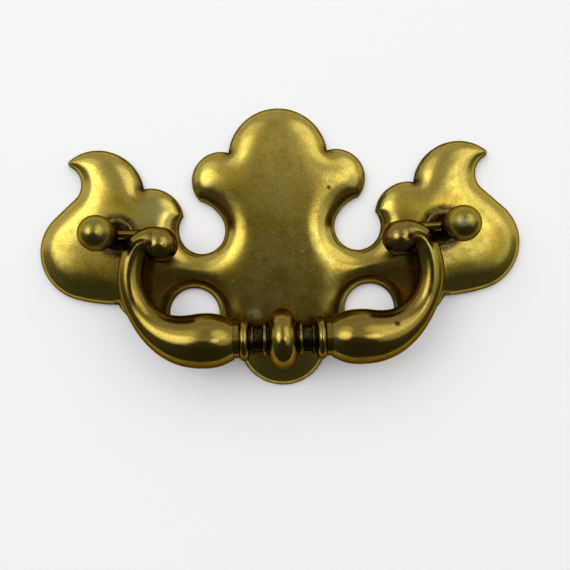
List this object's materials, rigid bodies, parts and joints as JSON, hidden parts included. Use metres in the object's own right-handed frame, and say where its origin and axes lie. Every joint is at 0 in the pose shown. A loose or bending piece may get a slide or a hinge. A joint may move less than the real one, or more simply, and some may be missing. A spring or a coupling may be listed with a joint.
{
  "type": "bail pull",
  "caption": "Brass drawer pull: a pierced, pillow-edged backplate with lobed wings carries ball-headed posts, between which a turned swan-neck bail swings out to be gripped.",
  "frame": {"origin": "midway between the axes of the posts' screw holes, on the plane of the drawer front that the back rim lies on", "axes": "+X right as seen from in front, +Y up on the drawer front, +Z out of the drawer front"},
  "size_m": [0.1148, 0.0662, 0.0252],
  "materials": {
    "plate_brass": "satin, antiqued",
    "post_brass": "satin, antiqued",
    "bail_brass": "satin, antiqued"
  },
  "bodies": {
    "mount": {"backplate": "plate_brass", "post_left": "post_brass", "post_right": "post_brass"},
    "bail": {"bail": "bail_brass"}
  },
  "joints": [
    {"name": "bail_swing", "type": "hinge", "parent": "mount", "child": "bail", "pos_m": [0, 0, 0.0117], "axis": [-1, 0, 0], "range_deg": [0, 56]}
  ]
}
